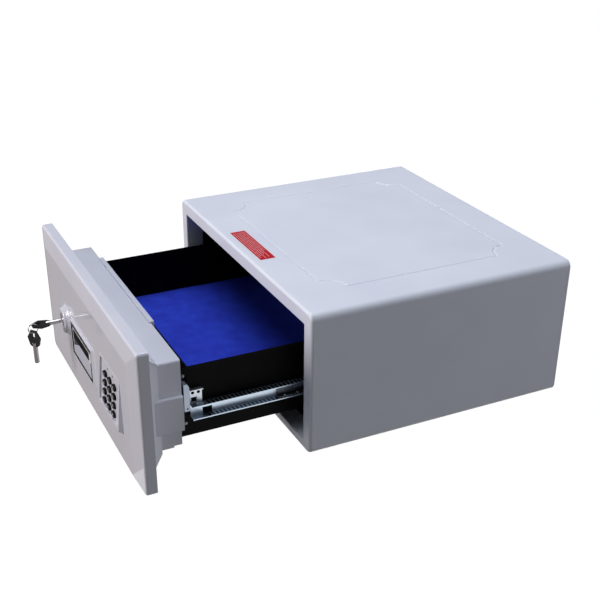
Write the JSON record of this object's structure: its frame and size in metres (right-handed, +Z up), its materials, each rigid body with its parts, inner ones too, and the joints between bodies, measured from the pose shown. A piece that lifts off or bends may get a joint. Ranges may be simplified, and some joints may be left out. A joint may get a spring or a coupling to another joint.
{
  "type": "drawer safe",
  "caption": "Hotel in room drawer safe: steel cabinet, felt lined drawer on ball bearing slides, keypad and display fascia, key override lock, sliding bolts.",
  "frame": {"origin": "centre of the cabinet's underside", "axes": "+Z up, the drawer opens towards -Y, +X to the right seen from behind the front (viewer's right when facing the front)"},
  "size_m": [0.5, 0.7418, 0.2222],
  "materials": {
    "white_steel": "fine texture powder coat",
    "black_steel": "satin powder coat",
    "zinc_steel": "bright zinc plate",
    "plain_steel": "cold rolled, lightly oiled",
    "bright_steel": "polished plate",
    "red_label": "satin vinyl",
    "blue_felt": "needled felt",
    "white_plastic": "glossy moulding",
    "black_plastic": "glossy moulding",
    "key_plastic": "satin moulding",
    "clear_plastic": "polished window",
    "display_grey": "display glass",
    "board_green": "lacquered board",
    "cell_jacket": "printed jacket",
    "light_lens": "dark lens"
  },
  "bodies": {
    "cabinet": {"cabinet_shell": "white_steel", "front_frame": "white_steel", "back_panel": "white_steel", "inner_liner": "black_steel", "strike_plates": "zinc_steel", "slide_brackets": "zinc_steel", "slide_rail_left": "zinc_steel", "slide_rail_right": "zinc_steel", "slide_screws": "plain_steel", "warning_label": "red_label"},
    "cage_left": {"ball_cage_left": "plain_steel", "slide_balls_left": "bright_steel"},
    "cage_right": {"ball_cage_right": "plain_steel", "slide_balls_right": "bright_steel"},
    "drawer": {"tray": "black_steel", "tray_screws": "bright_steel", "felt_mat": "blue_felt", "drawer_rail_left": "zinc_steel", "drawer_rail_right": "zinc_steel", "rail_brackets": "zinc_steel", "housing": "white_plastic", "mechanism_plate": "plain_steel", "fascia": "white_plastic", "display_hood": "white_plastic", "display_bezel": "black_plastic", "display_lens": "clear_plastic", "display_module": "display_grey", "keypad_wedge": "white_plastic", "keypad_board": "board_green", "status_lights": "light_lens", "lock_boss": "white_plastic", "lock_body": "bright_steel", "lock_nut": "plain_steel", "main_board": "board_green", "battery_holder": "black_plastic", "batteries": "cell_jacket", "gear_motor": "plain_steel", "fascia_screws": "plain_steel"},
    "lock_core": {"lock_core": "bright_steel", "lock_cam": "plain_steel"},
    "override_key": {"key_barrel": "bright_steel", "key_bow": "key_plastic"},
    "key_ring": {"key_ring": "bright_steel"},
    "spare_key": {"spare_key_barrel": "bright_steel", "spare_key_bow": "key_plastic"},
    "bolt_left": {"bolt_left": "zinc_steel"},
    "bolt_right": {"bolt_right": "zinc_steel"},
    "pinion": {"bolt_pinion": "plain_steel"},
    "button_1": {"button_1": "black_plastic"},
    "button_2": {"button_2": "black_plastic"},
    "button_3": {"button_3": "black_plastic"},
    "button_4": {"button_4": "black_plastic"},
    "button_5": {"button_5": "black_plastic"},
    "button_6": {"button_6": "black_plastic"},
    "button_7": {"button_7": "black_plastic"},
    "button_8": {"button_8": "black_plastic"},
    "button_9": {"button_9": "black_plastic"},
    "button_clear": {"button_clear": "black_plastic"},
    "button_0": {"button_0": "black_plastic"},
    "button_enter": {"button_enter": "black_plastic"}
  },
  "joints": [
    {"name": "drawer_slide", "type": "slide", "parent": "cabinet", "child": "drawer", "axis": [0, -1, 0], "range_m": [-0.225, 0.03]},
    {"name": "cage_left_slide", "type": "slide", "parent": "cabinet", "child": "cage_left", "axis": [0, -1, 0], "range_m": [-0.1125, 0.015]},
    {"name": "cage_right_slide", "type": "slide", "parent": "cabinet", "child": "cage_right", "axis": [0, -1, 0], "range_m": [-0.1125, 0.015]},
    {"name": "bolt_right_slide", "type": "slide", "parent": "drawer", "child": "bolt_right", "axis": [1, 0, 0], "range_m": [0, 0.016]},
    {"name": "bolt_left_slide", "type": "slide", "parent": "drawer", "child": "bolt_left", "axis": [-1, 0, 0], "range_m": [0, 0.016]},
    {"name": "pinion_turn", "type": "hinge", "parent": "drawer", "child": "pinion", "pos_m": [0, -0.3834, 0.118], "axis": [0, 1, 0], "range_deg": [0, 91.8]},
    {"name": "lock_turn", "type": "hinge", "parent": "drawer", "child": "lock_core", "pos_m": [-0.103, -0.4709, 0.11], "axis": [0, 1, 0], "range_deg": [0, 90]},
    {"name": "key_pull", "type": "slide", "parent": "lock_core", "child": "override_key", "axis": [0, -1, 0], "range_m": [0, 0.012]},
    {"name": "ring_swing", "type": "hinge", "parent": "override_key", "child": "key_ring", "pos_m": [-0.103, -0.5171, 0.11], "axis": [1, 0, 0], "range_deg": [-25, 25]},
    {"name": "spare_key_swing", "type": "hinge", "parent": "key_ring", "child": "spare_key", "pos_m": [-0.103, -0.5171, 0.1008], "axis": [1, 0, 0], "range_deg": [-25, 25]},
    {"name": "button_1_press", "type": "slide", "parent": "drawer", "child": "button_1", "axis": [0, 0.996, -0.0894], "range_m": [0, 0.0012], "stiffness_N_per_m": 300},
    {"name": "button_2_press", "type": "slide", "parent": "drawer", "child": "button_2", "axis": [0, 0.996, -0.0894], "range_m": [0, 0.0012], "stiffness_N_per_m": 300},
    {"name": "button_3_press", "type": "slide", "parent": "drawer", "child": "button_3", "axis": [0, 0.996, -0.0894], "range_m": [0, 0.0012], "stiffness_N_per_m": 300},
    {"name": "button_4_press", "type": "slide", "parent": "drawer", "child": "button_4", "axis": [0, 0.996, -0.0894], "range_m": [0, 0.0012], "stiffness_N_per_m": 300},
    {"name": "button_5_press", "type": "slide", "parent": "drawer", "child": "button_5", "axis": [0, 0.996, -0.0894], "range_m": [0, 0.0012], "stiffness_N_per_m": 300},
    {"name": "button_6_press", "type": "slide", "parent": "drawer", "child": "button_6", "axis": [0, 0.996, -0.0894], "range_m": [0, 0.0012], "stiffness_N_per_m": 300},
    {"name": "button_7_press", "type": "slide", "parent": "drawer", "child": "button_7", "axis": [0, 0.996, -0.0894], "range_m": [0, 0.0012], "stiffness_N_per_m": 300},
    {"name": "button_8_press", "type": "slide", "parent": "drawer", "child": "button_8", "axis": [0, 0.996, -0.0894], "range_m": [0, 0.0012], "stiffness_N_per_m": 300},
    {"name": "button_9_press", "type": "slide", "parent": "drawer", "child": "button_9", "axis": [0, 0.996, -0.0894], "range_m": [0, 0.0012], "stiffness_N_per_m": 300},
    {"name": "button_clear_press", "type": "slide", "parent": "drawer", "child": "button_clear", "axis": [0, 0.996, -0.0894], "range_m": [0, 0.0012], "stiffness_N_per_m": 300},
    {"name": "button_0_press", "type": "slide", "parent": "drawer", "child": "button_0", "axis": [0, 0.996, -0.0894], "range_m": [0, 0.0012], "stiffness_N_per_m": 300},
    {"name": "button_enter_press", "type": "slide", "parent": "drawer", "child": "button_enter", "axis": [0, 0.996, -0.0894], "range_m": [0, 0.0012], "stiffness_N_per_m": 300}
  ],
  "couplings": [
    {"joint": "cage_left_slide", "follows": "drawer_slide", "ratio": 0.5},
    {"joint": "cage_right_slide", "follows": "drawer_slide", "ratio": 0.5},
    {"joint": "bolt_left_slide", "follows": "bolt_right_slide", "ratio": 1},
    {"joint": "pinion_turn", "follows": "bolt_right_slide", "rad_per_m": 100}
  ]
}
